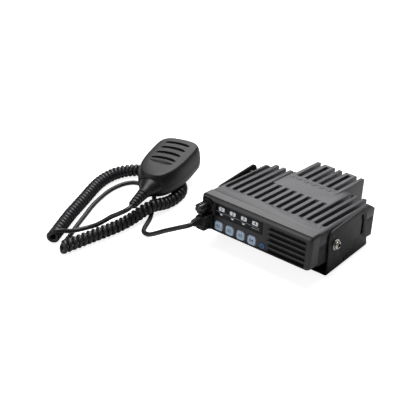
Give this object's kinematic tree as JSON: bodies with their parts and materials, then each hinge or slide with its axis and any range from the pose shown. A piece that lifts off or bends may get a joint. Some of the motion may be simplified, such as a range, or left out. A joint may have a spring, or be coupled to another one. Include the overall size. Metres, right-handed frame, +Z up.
{
  "type": "mobile transceiver",
  "caption": "Mobile radio transceiver with a finned heat sink, tilting in a U-shaped mounting bracket, with a hand microphone on a curly cord.",
  "frame": {"origin": "centre of the bracket's four floor holes, on the underside of its base", "axes": "+X to the right along the radio's front, +Y to its rear, +Z up"},
  "size_m": [0.3352, 0.29, 0.0615],
  "materials": {
    "bracket_steel": "satin black powder coat on folded steel",
    "cast_grey": "warm grey painted die casting",
    "cast_dark": "dark grey painted die casting",
    "panel_plastic": "fine-grained dark moulding",
    "window": "smoked glossy window",
    "lamp": "lit diffuser",
    "rubber": "black moulded rubber",
    "felt": "black acoustic cloth",
    "nickel": "nickel plate",
    "dark_screw": "blackened steel",
    "board": "solder-resist green laminate",
    "tin": "tinned sheet",
    "ribbon": "flat film cable",
    "module": "power module",
    "capacitor": "sleeved capacitor",
    "knob": "glossy black moulding",
    "key": "pale blue translucent rubber",
    "power_key": "blue translucent key",
    "insulator": "cream insulator",
    "mic_case": "fine-grained charcoal moulding",
    "cord": "satin charcoal cord jacket"
  },
  "bodies": {
    "bracket": {"bracket": "bracket_steel", "plug_lead": "cord", "coiled_cord": "cord", "mic_lead": "cord"},
    "radio": {"lower_chassis": "cast_dark", "heat_sink": "cast_grey", "front_panel": "panel_plastic", "panel_gasket": "rubber", "display_window": "window", "lamp_strip": "lamp", "speaker_frame": "tin", "speaker_cone": "felt", "speaker_magnet": "tin", "speaker_felt": "felt", "front_board": "board", "main_board": "board", "ribbon_cable": "ribbon", "power_module": "module", "shield_cans": "tin", "capacitors": "capacitor", "volume_pot": "tin", "key_mat": "rubber", "mic_jack": "knob", "mic_plug": "rubber", "plug_boot": "rubber", "antenna_connector": "nickel", "antenna_centre": "insulator", "power_inlet": "insulator", "speaker_jack": "knob", "cover_screws": "nickel", "panel_screws": "dark_screw", "pivot_screws": "nickel", "pivot_washers": "nickel"},
    "key_1": {"key_1": "key"},
    "key_2": {"key_2": "key"},
    "key_3": {"key_3": "key"},
    "key_4": {"key_4": "key"},
    "power_button": {"power_button": "power_key"},
    "volume_knob": {"volume_knob": "knob", "volume_shaft": "tin"},
    "ptt_button": {"ptt_button": "mic_case"},
    "microphone": {"mic_front_case": "mic_case", "mic_rear_case": "mic_case", "cord_cap": "mic_case", "mic_boot": "rubber", "ptt_switch": "tin", "mic_capsule": "nickel", "capsule_holder": "rubber", "mic_board": "board", "mic_screen": "felt", "hanger_stud": "nickel", "mic_screws": "dark_screw"}
  },
  "joints": [
    {"name": "radio_tilt", "type": "hinge", "parent": "bracket", "child": "radio", "pos_m": [0, -0.026, 0.0353], "axis": [1, 0, 0], "range_deg": [-4, 14]},
    {"name": "volume_turn", "type": "hinge", "parent": "radio", "child": "volume_knob", "pos_m": [-0.0676, -0.06818, 0.04834], "axis": [0, 0.9934, -0.1149], "range_deg": [-140, 140]},
    {"name": "key_1_press", "type": "slide", "parent": "radio", "child": "key_1", "axis": [0, 0.9934, -0.1149], "range_m": [0, 0.0006], "stiffness_N_per_m": 1500, "springref_m": -0.0003},
    {"name": "key_2_press", "type": "slide", "parent": "radio", "child": "key_2", "axis": [0, 0.9934, -0.1149], "range_m": [0, 0.0006], "stiffness_N_per_m": 1500, "springref_m": -0.0003},
    {"name": "key_3_press", "type": "slide", "parent": "radio", "child": "key_3", "axis": [0, 0.9934, -0.1149], "range_m": [0, 0.0006], "stiffness_N_per_m": 1500, "springref_m": -0.0003},
    {"name": "key_4_press", "type": "slide", "parent": "radio", "child": "key_4", "axis": [0, 0.9934, -0.1149], "range_m": [0, 0.0006], "stiffness_N_per_m": 1500, "springref_m": -0.0003},
    {"name": "power_press", "type": "slide", "parent": "radio", "child": "power_button", "axis": [0, 0.9934, -0.1149], "range_m": [0, 0.0006], "stiffness_N_per_m": 1500, "springref_m": -0.0003},
    {"name": "microphone_lift", "type": "slide", "parent": "bracket", "child": "microphone", "axis": [0, 0, 1], "range_m": [0, 0.06]},
    {"name": "ptt_press", "type": "slide", "parent": "microphone", "child": "ptt_button", "axis": [0.9622, 0.2723, 0], "range_m": [0, 0.0012], "stiffness_N_per_m": 1200, "springref_m": -0.0004}
  ]
}
